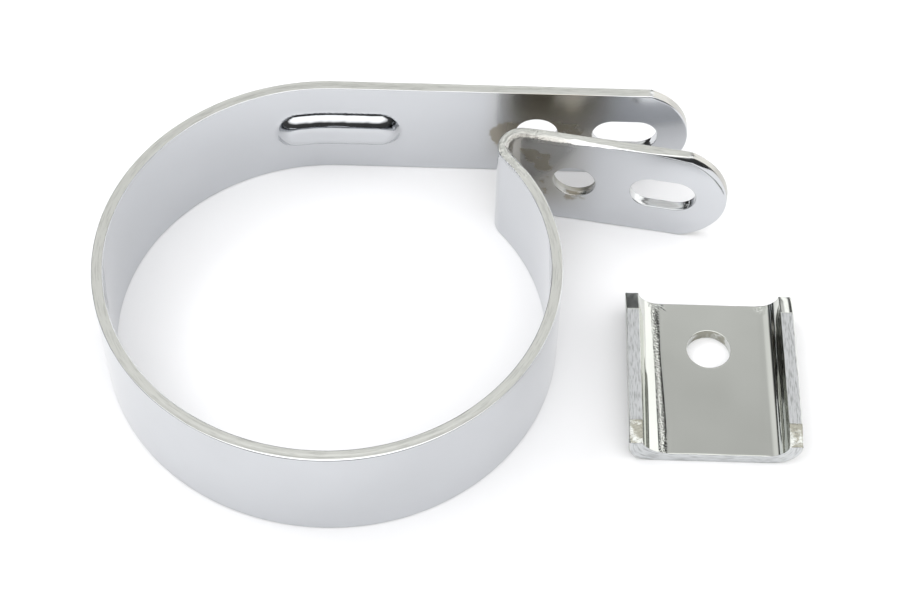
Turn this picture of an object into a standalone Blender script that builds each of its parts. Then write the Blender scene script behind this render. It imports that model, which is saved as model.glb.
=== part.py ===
"""Muffler clamp: a ring strap bent from one steel strip, and the loose saddle plate that goes under its bolt.

Metres, +Z up. Both pieces lie on the ground plane, the strap standing on one cut edge of its strip
and the saddle plate flat beside it. The world origin is under the middle of the two together.
"""
import math

import bmesh
import bpy
from mathutils import Matrix, Vector

# --- What the clamp fits ---
MUFFLER_DIAMETER = 0.1016
BOLT_DIAMETER = 0.0095

# --- Strip that the strap is bent from ---
STRIP_WIDTH = 0.0295
STRIP_THICKNESS = 0.0026

# --- Ring, sprung a little open: how much wider than the muffler each inside bend is, and how far it turns ---
BACK_EASE = -0.0007
BACK_TURN = math.radians(97.5)
FRONT_EASE = 0.0015
FRONT_TURN = math.radians(86.0)
SIDE_EASE = -0.0008
SIDE_TURN = math.radians(126.0)

# --- Neck, the tight bend back from the ring into the front ear, by its inside radius ---
NECK_RADIUS = 0.0034
NECK_TURN = math.radians(138.3)

# --- Ears: a round hole towards the ring and a slot towards the tip, in both ears alike ---
HOLE_CLEARANCE = 0.0009
SLOT_CLEARANCE = 0.0007
SLOT_TRAVEL = 0.0059
SLOT_TO_TIP = 0.0155
HOLE_TO_SLOT = 0.0218
RING_TO_BACK_HOLE = 0.0493
NECK_TO_FRONT_HOLE = 0.0125
TIP_FLATNESS = 0.00115

# --- Locating rib, pressed inwards where the back ear meets the ring ---
RIB_LENGTH = 0.0326
RIB_WIDTH = 0.0124
RIB_CREST_WIDTH = 0.0034
RIB_HEIGHT = 0.0026

# --- Saddle plate, a shallow channel that straddles an ear ---
SADDLE_THICKNESS = 0.0031
SADDLE_LENGTH = 0.0421
SADDLE_SIDE_CLEARANCE = 0.00195
SADDLE_FOLD_RADIUS = 0.0033
SADDLE_LIP_STRAIGHT = 0.0022
SADDLE_LIP_END_DROP = 0.0014
SADDLE_LIP_END_SLOPE = 0.0055
SADDLE_HOLE_OFFSET = 0.0082

# --- How the saddle plate lies beside the strap ---
SADDLE_GAP_TO_RING = 0.0184
SADDLE_GAP_TO_EAR = 0.0229

# --- How finely round shapes are cut into facets ---
RING_STEP = math.radians(4.0)
NECK_STEP = math.radians(9.0)
TIP_FACETS = 9
RIB_STEPS = 16
FOLD_FACETS = 8
HOLE_FACETS = 48
CUTTER_REACH = 0.010

# --- Sizes that follow from those above ---
BACK_RADIUS = MUFFLER_DIAMETER / 2 + BACK_EASE
FRONT_RADIUS = MUFFLER_DIAMETER / 2 + FRONT_EASE
SIDE_RADIUS = MUFFLER_DIAMETER / 2 + SIDE_EASE
HOLE_DIAMETER = BOLT_DIAMETER + HOLE_CLEARANCE
SLOT_WIDTH = BOLT_DIAMETER + SLOT_CLEARANCE
SLOT_LENGTH = SLOT_WIDTH + SLOT_TRAVEL
HOLE_TO_TIP = HOLE_TO_SLOT + SLOT_TO_TIP
BACK_EAR_LENGTH = RING_TO_BACK_HOLE + HOLE_TO_TIP
FRONT_EAR_LENGTH = NECK_TO_FRONT_HOLE + HOLE_TO_TIP
TIP_RADIUS = STRIP_WIDTH / 2 + TIP_FLATNESS

CHROME_COLOUR = (0.78, 0.79, 0.80, 1.0)
CHROME_ROUGHNESS = 0.08


# ---------------------------------------------------------------- strip's path
def path_segments():
    """The strip's middle line from the back ear's tip to the front ear's: (length, curvature) pairs."""
    half = STRIP_THICKNESS / 2
    back = BACK_RADIUS + half
    front = FRONT_RADIUS + half
    side = SIDE_RADIUS + half
    neck = NECK_RADIUS + half
    return [
        (BACK_EAR_LENGTH, 0.0),
        (back * BACK_TURN, 1 / back),
        (front * FRONT_TURN, 1 / front),
        (side * SIDE_TURN, 1 / side),
        (neck * NECK_TURN, -1 / neck),
        (FRONT_EAR_LENGTH, 0.0),
    ]


def segment_ends():
    """Distances along the strip at which its segments end."""
    ends = []
    total = 0.0
    for length, _ in path_segments():
        total += length
        ends.append(total)
    return ends


def place(distance):
    """Position and heading of the strip's middle line at a distance from the back ear's tip.

    The ring's back arc is centred on the strap's own origin.
    """
    point = Vector((BACK_EAR_LENGTH, BACK_RADIUS + STRIP_THICKNESS / 2))
    heading = math.pi
    for length, curvature in path_segments():
        step = min(distance, length)
        turn = curvature * step
        chord = 2 * math.sin(turn / 2) / curvature if curvature else step
        middle = heading + turn / 2
        point = point + chord * Vector((math.cos(middle), math.sin(middle)))
        heading += turn
        distance -= step
        if distance <= 0:
            break
    return point, heading


def across(heading):
    """Unit vector to the left of a heading, which is towards the inside of the ring."""
    return Vector((-math.sin(heading), math.cos(heading)))


# ---------------------------------------------------------------- strip's shape along the path
def tip_outline():
    """Distance from the tip and half height of the strip there, around an ear's round end."""
    half_width = STRIP_WIDTH / 2
    corner = math.asin(half_width / TIP_RADIUS)
    outline = []
    for index in range(TIP_FACETS // 2 + 1):
        angle = corner * (1 - 2 * index / TIP_FACETS)
        outline.append((TIP_RADIUS * (1 - math.cos(angle)), TIP_RADIUS * math.sin(angle)))
    outline.reverse()
    return outline


def rib_rise(distance, height):
    """How far the strip is pressed inwards at a place: flat crest, then a cosine flank to nothing."""
    half_run = (RIB_LENGTH - RIB_WIDTH) / 2
    beyond = max(abs(distance - BACK_EAR_LENGTH) - half_run, 0.0)
    off_axis = math.hypot(beyond, height - STRIP_WIDTH / 2)
    crest = RIB_CREST_WIDTH / 2
    foot = RIB_WIDTH / 2
    share = min(max((off_axis - crest) / (foot - crest), 0.0), 1.0)
    return RIB_HEIGHT * (1 + math.cos(math.pi * share)) / 2


def rib_rows():
    """Heights of the mesh rows that carry the rib."""
    middle = STRIP_WIDTH / 2
    crest = RIB_CREST_WIDTH / 2
    foot = RIB_WIDTH / 2
    flank = (crest + foot) / 2
    return [middle + side for side in (-foot, -flank, -crest, 0.0, crest, flank, foot)]


def stations():
    """Every station of the strip: its distance, and the heights of its mesh rows from low to high."""
    ends = segment_ends()
    total = ends[-1]
    rib_start = BACK_EAR_LENGTH - RIB_LENGTH / 2
    rib_end = BACK_EAR_LENGTH + RIB_LENGTH / 2
    rows = {}
    for from_tip, half_height in tip_outline():
        heights = [STRIP_WIDTH / 2 - half_height, STRIP_WIDTH / 2 + half_height]
        rows[from_tip] = heights
        rows[total - from_tip] = heights
    start = BACK_EAR_LENGTH
    steps = [RING_STEP, RING_STEP, RING_STEP, NECK_STEP]
    for (length, curvature), step in zip(path_segments()[1:5], steps):
        count = math.ceil(length * abs(curvature) / step)
        for index in range(count + 1):
            distance = start + length * index / count
            if distance >= rib_end:
                rows[distance] = [0.0, STRIP_WIDTH]
        start += length
    for index in range(RIB_STEPS + 1):
        distance = rib_start + (rib_end - rib_start) * index / RIB_STEPS
        rows[distance] = [0.0] + rib_rows() + [STRIP_WIDTH]
    return sorted(rows.items())


def strap_points():
    """The strip's surface points: for each station, its inner and its outer column, from low to high."""
    columns = []
    for distance, heights in stations():
        point, heading = place(distance)
        inwards = across(heading)
        inner = []
        outer = []
        for height in heights:
            rise = rib_rise(distance, height)
            near = point + inwards * (rise + STRIP_THICKNESS / 2)
            far = point + inwards * (rise - STRIP_THICKNESS / 2)
            inner.append(Vector((near.x, near.y, height)))
            outer.append(Vector((far.x, far.y, height)))
        columns.append((inner, outer))
    return columns


# ---------------------------------------------------------------- saddle plate's shape
def saddle_width():
    """Width over both lips: the strip, its clearance each side, and the lips."""
    return STRIP_WIDTH + 2 * (SADDLE_SIDE_CLEARANCE + SADDLE_THICKNESS)


def saddle_height():
    """Height of the lips' crests over the ground."""
    return SADDLE_THICKNESS + SADDLE_FOLD_RADIUS + SADDLE_LIP_STRAIGHT


def fold(centre_x, centre_z, radius, start, end):
    """Points around one fold, from one angle to the other."""
    points = []
    for index in range(FOLD_FACETS + 1):
        angle = start + (end - start) * index / FOLD_FACETS
        points.append((centre_x + radius * math.cos(angle), centre_z + radius * math.sin(angle)))
    return points


def saddle_profile(lip_height):
    """The channel's section: outside from the left crest round to the right one, then back inside."""
    outside = SADDLE_THICKNESS + SADDLE_FOLD_RADIUS
    half = saddle_width() / 2
    centre = half - outside
    quarter = math.pi / 2
    section = [(-half, lip_height)]
    section += fold(-centre, outside, outside, 2 * quarter, 3 * quarter)
    section += fold(centre, outside, outside, 3 * quarter, 4 * quarter)
    section += [(half, lip_height), (half - SADDLE_THICKNESS, lip_height)]
    section += fold(centre, outside, SADDLE_FOLD_RADIUS, 4 * quarter, 3 * quarter)
    section += fold(-centre, outside, SADDLE_FOLD_RADIUS, 3 * quarter, 2 * quarter)
    section += [(-half + SADDLE_THICKNESS, lip_height)]
    return section


def saddle_sections():
    """The channel's sections from front to back, with the lips sloping down at both ends."""
    crest = saddle_height()
    end = crest - SADDLE_LIP_END_DROP
    half = SADDLE_LENGTH / 2
    along = [(-half, end), (SADDLE_LIP_END_SLOPE - half, crest), (half - SADDLE_LIP_END_SLOPE, crest), (half, end)]
    return [[Vector((x, y, z)) for x, z in saddle_profile(lip)] for y, lip in along]


# ---------------------------------------------------------------- making objects
def chrome(name):
    """A bright chrome plated finish."""
    material = bpy.data.materials.new(name)
    material.use_nodes = True
    shader = material.node_tree.nodes["Principled BSDF"]
    shader.inputs["Base Color"].default_value = CHROME_COLOUR
    shader.inputs["Metallic"].default_value = 1.0
    shader.inputs["Roughness"].default_value = CHROME_ROUGHNESS
    material.diffuse_color = CHROME_COLOUR
    return material


def add_object(name, mesh, parent):
    """An object for a mesh, under a parent."""
    item = bpy.data.objects.new(name, mesh)
    bpy.context.scene.collection.objects.link(item)
    item.parent = parent
    return item


def finish_mesh(shape, name):
    """A mesh from a bmesh, facing out, with its round stretches shaded smooth."""
    bmesh.ops.recalc_face_normals(shape, faces=shape.faces)
    mesh = bpy.data.meshes.new(name)
    shape.to_mesh(mesh)
    shape.free()
    mesh.shade_smooth()
    mesh.set_sharp_from_angle(angle=math.radians(30.0))
    return mesh


def strap_mesh():
    """The strap's closed mesh: two faces, the two cut edges, and the two end caps."""
    shape = bmesh.new()
    columns = []
    for inner, outer in strap_points():
        columns.append(([shape.verts.new(point) for point in inner], [shape.verts.new(point) for point in outer]))
    for (inner_a, outer_a), (inner_b, outer_b) in zip(columns, columns[1:]):
        for side_a, side_b in ((inner_a, inner_b), (outer_a, outer_b)):
            if len(side_a) == len(side_b):
                for row in range(len(side_a) - 1):
                    shape.faces.new((side_a[row], side_b[row], side_b[row + 1], side_a[row + 1]))
            else:
                shape.faces.new(side_b + side_a[::-1])
        for row in (0, -1):
            shape.faces.new((inner_a[row], inner_b[row], outer_b[row], outer_a[row]))
    for inner, outer in (columns[0], columns[-1]):
        shape.faces.new(inner + outer[::-1])
    return finish_mesh(shape, "clamp_strap")


def saddle_mesh():
    """The saddle plate's closed mesh: its section carried along its length, with both ends closed."""
    shape = bmesh.new()
    rings = [[shape.verts.new(point) for point in section] for section in saddle_sections()]
    for ring_a, ring_b in zip(rings, rings[1:]):
        count = len(ring_a)
        for index in range(count):
            following = (index + 1) % count
            shape.faces.new((ring_a[index], ring_a[following], ring_b[following], ring_b[index]))
    shape.faces.new(rings[0])
    shape.faces.new(rings[-1])
    return finish_mesh(shape, "saddle_plate")


def hole_mesh(length, width):
    """A cutter along its own Z: a round hole, or a slot along X where length is more than width."""
    run = (length - width) / 2
    outline = []
    for index in range(HOLE_FACETS):
        angle = 2 * math.pi * (index + 0.5) / HOLE_FACETS
        x = width / 2 * math.cos(angle)
        outline.append((x + math.copysign(run, x), width / 2 * math.sin(angle)))
    shape = bmesh.new()
    bottom = shape.faces.new([shape.verts.new((x, y, -CUTTER_REACH)) for x, y in outline])
    wall = bmesh.ops.extrude_face_region(shape, geom=[bottom])
    top = [item for item in wall["geom"] if isinstance(item, bmesh.types.BMVert)]
    bmesh.ops.translate(shape, verts=top, vec=(0.0, 0.0, 2 * CUTTER_REACH))
    return finish_mesh(shape, "cutter")


def cut(target, name, mesh, local):
    """Cut a hole through an object with a hidden cutter placed in the object's own space."""
    cutter = add_object(name, mesh, target)
    cutter.matrix_local = local
    cutter.hide_render = True
    cutter.display_type = "WIRE"
    boolean = target.modifiers.new(name, "BOOLEAN")
    boolean.operation = "DIFFERENCE"
    boolean.solver = "EXACT"
    boolean.object = cutter


def through_strip(distance):
    """Placement of a cutter that goes straight through the strip at a distance along it."""
    point, heading = place(distance)
    upright = Matrix.Rotation(heading, 4, "Z") @ Matrix.Rotation(math.pi / 2, 4, "X")
    return Matrix.Translation((point.x, point.y, STRIP_WIDTH / 2)) @ upright


# ---------------------------------------------------------------- layout
def span(values):
    """Lowest and highest of some numbers."""
    numbers = list(values)
    return min(numbers), max(numbers)


def layout():
    """Place of the saddle plate's middle in the strap's space, and the middle of both pieces' footprint."""
    points = [point for inner, outer in strap_points() for point in inner + outer]
    left, _ = span(point.x for point in points)
    front, back = span(point.y for point in points)
    ring_side = SIDE_RADIUS + STRIP_THICKNESS
    front_ear = place(segment_ends()[-1])[0]
    saddle_x = ring_side + SADDLE_GAP_TO_RING + saddle_width() / 2
    saddle_y = front_ear.y - SADDLE_GAP_TO_EAR - SADDLE_LENGTH / 2
    right = max(saddle_x + saddle_width() / 2, max(point.x for point in points))
    front = min(front, saddle_y - SADDLE_LENGTH / 2)
    return Vector((saddle_x, saddle_y, 0.0)), Vector(((left + right) / 2, (front + back) / 2, 0.0))


def build_strap(parent, finish):
    """The strap, with a round hole and a slot in each ear."""
    mesh = strap_mesh()
    mesh.materials.append(finish)
    strap = add_object("clamp_strap", mesh, parent)
    total = segment_ends()[-1]
    round_hole = hole_mesh(HOLE_DIAMETER, HOLE_DIAMETER)
    slot = hole_mesh(SLOT_LENGTH, SLOT_WIDTH)
    cut(strap, "back_hole_cutter", round_hole, through_strip(HOLE_TO_TIP))
    cut(strap, "back_slot_cutter", slot, through_strip(SLOT_TO_TIP))
    cut(strap, "front_hole_cutter", round_hole, through_strip(total - HOLE_TO_TIP))
    cut(strap, "front_slot_cutter", slot, through_strip(total - SLOT_TO_TIP))
    return strap


def build_saddle(parent, finish, middle):
    """The saddle plate, with its bolt hole set towards the back."""
    mesh = saddle_mesh()
    mesh.materials.append(finish)
    saddle = add_object("saddle_plate", mesh, parent)
    saddle.location = middle
    hole = hole_mesh(HOLE_DIAMETER, HOLE_DIAMETER)
    cut(saddle, "saddle_hole_cutter", hole, Matrix.Translation((0.0, SADDLE_HOLE_OFFSET, 0.0)))
    return saddle


def main():
    """Clear the scene and build both pieces around the middle of their footprint."""
    for item in list(bpy.data.objects):
        bpy.data.objects.remove(item, do_unlink=True)
    saddle_middle, footprint_middle = layout()
    ground = bpy.data.objects.new("ground_middle", None)
    bpy.context.scene.collection.objects.link(ground)
    ground.location = -footprint_middle
    build_strap(ground, chrome("chrome_strap"))
    build_saddle(ground, chrome("chrome_saddle"), saddle_middle)


main()
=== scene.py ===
"""Looks of the muffler clamp: a bent ring strap and its loose saddle plate, both of chrome plated steel.

Each piece is one blank of sheet metal. Its outline and openings are laid out flat, as (distance along the
strip, height across it, depth through it), meshed there as grids, and then bent along the piece's own line.
"""

import logging
import math
from dataclasses import dataclass, field
from enum import Enum

import bmesh
import bpy
import numpy as np
from mathutils import Matrix, Vector


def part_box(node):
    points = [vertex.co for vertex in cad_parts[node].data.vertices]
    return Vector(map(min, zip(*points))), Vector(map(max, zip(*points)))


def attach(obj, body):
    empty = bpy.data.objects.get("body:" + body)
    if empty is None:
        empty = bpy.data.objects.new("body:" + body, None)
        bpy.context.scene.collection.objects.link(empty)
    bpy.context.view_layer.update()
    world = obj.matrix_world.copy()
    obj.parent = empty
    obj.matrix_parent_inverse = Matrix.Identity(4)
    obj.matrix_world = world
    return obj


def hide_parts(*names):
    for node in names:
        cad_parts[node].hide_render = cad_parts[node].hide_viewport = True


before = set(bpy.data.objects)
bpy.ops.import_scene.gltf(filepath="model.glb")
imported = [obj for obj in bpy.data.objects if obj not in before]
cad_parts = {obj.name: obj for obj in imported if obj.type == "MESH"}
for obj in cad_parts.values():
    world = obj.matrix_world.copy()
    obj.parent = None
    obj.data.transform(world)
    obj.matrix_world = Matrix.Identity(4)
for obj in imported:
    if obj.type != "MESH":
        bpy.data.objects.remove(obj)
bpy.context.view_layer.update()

MM = 0.001
LOG = logging.getLogger("muffler_clamp")

Array = np.ndarray
Socket = bpy.types.NodeSocket
Tree = bpy.types.NodeTree
Levels = tuple[tuple[float, float], ...]

# The irregular wave's three sines: how often each turns, how far a phase shifts it, and its size.
WAVER_SINES = ((1.0, 1.0, 1.0), (1.73, 2.1, 0.7), (2.89, 3.7, 0.5))
WAVER_SCALE = 1.6

# Shares of the way from an opening's rim to the boundary of its block, at which rings of the grid lie.
RING_SHARES = (0.0, 0.013, 0.05, 0.12, 0.22, 0.34, 0.48, 0.62, 0.76, 0.89, 0.985, 1.0)

# Punched walls are brighter than sheared ones: they count as this share of a cut wall.
PUNCHED_SHARE = 0.4

# Places nearer to each other than this are one point.
WELD_STEP = 1e-4 * MM


class Body(Enum):
    """CAD bodies that the pieces ride on."""

    STRAP = "strap"
    SADDLE = "saddle"


class Slot(Enum):
    """Names for the pieces' material slots; nothing in this script uses them."""

    STRAP = "strap_chrome"
    SADDLE = "saddle_chrome"


class Face(Enum):
    """The two faces of a sheet: its value is the side of the middle surface that it lies on."""

    INNER = 1
    OUTER = -1


# ---------------------------------------------------------------- small tools
def linear(colour: str) -> tuple[float, float, float, float]:
    """Linear colour from an sRGB hex colour.

    Args:
        colour: six hex digits after a hash sign.

    Returns:
        Red, green and blue, each from 0 to 1, and an alpha of 1.
    """
    parts = [int(colour[index : index + 2], 16) / 255 for index in (1, 3, 5)]
    red, green, blue = [p / 12.92 if p <= 0.04045 else ((p + 0.055) / 1.055) ** 2.4 for p in parts]
    return red, green, blue, 1.0


def add_node(
    tree: Tree, kind: str, inputs: dict, stops: tuple = (), **settings: object
) -> bpy.types.Node:
    """Add a node with its settings, values and links.

    Args:
        tree: the node tree.
        kind: the node's type name.
        inputs: a value, or an output socket to link, for each input by name or number.
        stops: (position, colour) pairs of a colour ramp.
        settings: the node's own properties.

    Returns:
        The new node.
    """
    node = tree.nodes.new(kind)
    for name, value in settings.items():
        setattr(node, name, value)
    for key, value in inputs.items():
        if isinstance(value, Socket):
            tree.links.new(value, node.inputs[key])
        else:
            node.inputs[key].default_value = value
    for index, (position, colour) in enumerate(stops):
        elements = node.color_ramp.elements
        stop = elements[index] if index < 2 else elements.new(position)
        stop.position = position
        stop.color = colour
    return node


def waver(distance: Array, period: float, phase: float = 0.0) -> Array:
    """Irregular wave between about -1 and 1: three sines whose periods share no whole ratio.

    Args:
        distance: where to read the wave.
        period: the longest of the three periods.
        phase: shifts all three, each by a different share.

    Returns:
        The wave, of the same shape as distance.
    """
    turn = 2 * np.pi * distance / period
    sines = [size * np.sin(rate * turn + shift * phase) for rate, shift, size in WAVER_SINES]
    return sum(sines) / WAVER_SCALE


def smooth(share: Array) -> Array:
    """Smooth step from 0 to 1 as share goes from 0 to 1."""
    held = np.clip(share, 0.0, 1.0)
    return held * held * (3 - 2 * held)


def hump(distance: Array, middle: float, reach: float) -> Array:
    """A flat-topped hump: e to the minus cube of how many reaches away from the middle a distance is."""
    return np.exp(-np.abs((distance - middle) / reach) ** 3)


def unit_rows(vectors: Array) -> Array:
    """Each row of an array divided by its own length."""
    return vectors / np.linalg.norm(vectors, axis=-1, keepdims=True)


def stretch(*spans: tuple[float, float, float]) -> Array:
    """Distances along several spans joined end to end.

    Args:
        spans: (from, to, about how far apart) for each span.

    Returns:
        The distances, each once, in order.
    """
    pieces = []
    for start, end, step in spans:
        count = max(1, round((end - start) / step))
        pieces.append(np.linspace(start, end, count + 1)[:-1])
    pieces.append(np.array([spans[-1][1]]))
    return np.concatenate(pieces)


# ---------------------------------------------------------------- sheet metal
@dataclass(frozen=True)
class BendLine:
    """A line of straights and arcs in a plane, which a sheet's middle follows."""

    lengths: tuple[float, ...]
    curvatures: tuple[float, ...]
    start: tuple[float, float]
    heading: float

    def follow(self, distance: Array) -> tuple[Array, Array]:
        """Points and headings at distances along the line.

        Every straight or arc adds its chord, which is 2 sin(turn / 2) / curvature long and points along the
        heading half way through the turn. The first and last ones go on beyond the line's ends.

        Args:
            distance: distances from the start.

        Returns:
            The points, and the headings in radians.
        """
        point = np.zeros(distance.shape + (2,)) + np.array(self.start)
        heading = np.full(distance.shape, self.heading)
        begun = 0.0
        last = len(self.lengths) - 1
        for index, (length, curvature) in enumerate(zip(self.lengths, self.curvatures)):
            low = -np.inf if index == 0 else 0.0
            high = np.inf if index == last else length
            step = np.clip(distance - begun, low, high)
            turn = curvature * step
            chord = 2 * np.sin(turn / 2) / curvature if curvature else step
            middle = heading + turn / 2
            point = point + chord[..., None] * np.stack((np.cos(middle), np.sin(middle)), axis=-1)
            heading = heading + turn
            begun += length
        return point, heading


@dataclass(frozen=True)
class Opening:
    """A round hole, or a slot along the strip, cut in the block between two stations."""

    centre: tuple[float, float]
    radius: float
    half_run: float
    first: int
    last: int

    def rim(self, boundary: Array) -> tuple[Array, Array]:
        """Points of the opening's rim that face a boundary's points.

        Each boundary point looks at the nearest place on the slot's axis, and the rim point is one radius
        from there towards it.

        Args:
            boundary: points around the opening.

        Returns:
            The rim's points, and the directions from the axis to them.
        """
        axis = np.empty_like(boundary)
        along, across = self.centre
        axis[:, 0] = np.clip(boundary[:, 0], along - self.half_run, along + self.half_run)
        axis[:, 1] = across
        away = unit_rows(boundary - axis)
        return axis + self.radius * away, away


@dataclass(frozen=True)
class CutEdge:
    """How a sheared edge is rounded on each face.

    Each rounding has a width along the face, a depth through the sheet, and a flatness: 1 is an ellipse,
    and towards 2 it becomes a straight bevel with tight ends. Between the roundings, wall_rows says how far
    through the wall its rows lie, and wall_torn how much of the fracture's depth each is set back. A
    rounding counts as cut wall by the sine of its angle to the power of cut_onset.
    """

    inner_width: float = 0.15 * MM
    inner_depth: float = 0.26 * MM
    outer_width: float = 0.22 * MM
    outer_depth: float = 0.24 * MM
    flatness: float = 1.0
    fracture: float = 0.04 * MM
    corner_steps: int = 7
    wall_rows: tuple[float, ...] = (0.05, 0.3, 0.52, 0.62, 0.95)
    wall_torn: tuple[float, ...] = (0.0, 0.0, 0.0, 1.0, 0.6)
    cut_onset: int = 6

    def sizes(self, count: int) -> Array:
        """The same six sizes at every one of count places, as rows."""
        inner = [self.inner_width, self.inner_depth, self.flatness]
        return np.tile(inner + [self.outer_width, self.outer_depth, self.flatness], (count, 1))

    def wall(self, rim: Array, outward: Array, sizes: Array, thickness: float) -> tuple[Array, Array]:
        """The cut wall all along a rim, from the inner face to the outer one.

        Across the wall, a quarter ellipse leads from the inner face to the wall, the wall goes straight
        through with a shallow step where the shear tore instead of cut, and another quarter ellipse leads
        to the outer face. This profile is carried along the rim, square to it.

        Args:
            rim: the rim's points.
            outward: directions out of the metal at them.
            sizes: rows of width, depth and flatness, for the inner face and then for the outer one.
            thickness: the sheet's thickness.

        Returns:
            A grid of flat places (distance, height, depth), and how far each is the cut wall, from 0 to 1.
        """
        columns = [sizes[:, index, None] for index in range(6)]
        inner_width, inner_depth, inner_flat, outer_width, outer_depth, outer_flat = columns
        angle = np.linspace(0.0, np.pi / 2, self.corner_steps)[None, :]
        through = np.array(self.wall_rows)[None, :]
        torn = np.array(self.wall_torn)[None, :]
        half = thickness / 2
        top = half - inner_depth
        bottom = outer_depth - half
        rising = np.clip(np.sin(angle), 0.0, 1.0)
        falling = np.clip(np.cos(angle), 0.0, 1.0)
        out = np.hstack((
            -inner_width * (1 - rising**inner_flat),
            -self.fracture * torn + 0 * inner_width,
            -outer_width * (1 - rising[:, ::-1] ** outer_flat),
        ))
        depth = np.hstack((
            half - inner_depth * (1 - falling**inner_flat),
            top + (bottom - top) * through,
            -half + outer_depth * (1 - falling[:, ::-1] ** outer_flat),
        ))
        places = np.dstack((
            rim[:, 0, None] + outward[:, 0, None] * out,
            rim[:, 1, None] + outward[:, 1, None] * out,
            depth,
        ))
        onset = rising**self.cut_onset
        share = np.hstack((onset, np.ones_like(through), onset[:, ::-1]))
        return places, np.broadcast_to(share, depth.shape)


@dataclass
class Patches:
    """Grids of flat places with their shares of cut wall, welded into one closed surface at the end."""

    places: list[Array] = field(default_factory=list)
    shares: list[Array] = field(default_factory=list)
    quads: list[Array] = field(default_factory=list)
    count: int = 0

    def add(self, places: Array, share: Array, closed: bool) -> None:
        """Add one grid.

        Args:
            places: a grid of flat places, rows by columns by three.
            share: how far each place is cut wall.
            closed: whether the last row joins the first.
        """
        rows, columns = places.shape[:2]
        number = self.count + np.arange(rows * columns).reshape(rows, columns)
        following = np.roll(number, -1, axis=0) if closed else number[1:]
        number = number if closed else number[:-1]
        quads = np.stack((number[:, :-1], following[:, :-1], following[:, 1:], number[:, 1:]), axis=-1)
        self.places.append(places.reshape(-1, 3))
        self.shares.append(np.asarray(share).reshape(-1))
        self.quads.append(quads.reshape(-1, 4))
        self.count += rows * columns

    def weld(self) -> tuple[Array, Array, Array]:
        """Join the grids where their places are the same.

        Returns:
            The places, their shares of cut wall, and the quads between them.
        """
        places = np.concatenate(self.places)
        shares = np.concatenate(self.shares)
        keys = np.round(places / WELD_STEP).astype(np.int64)
        _, first, number = np.unique(keys, axis=0, return_index=True, return_inverse=True)
        return places[first], shares[first], number.reshape(-1)[np.concatenate(self.quads)]


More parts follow.
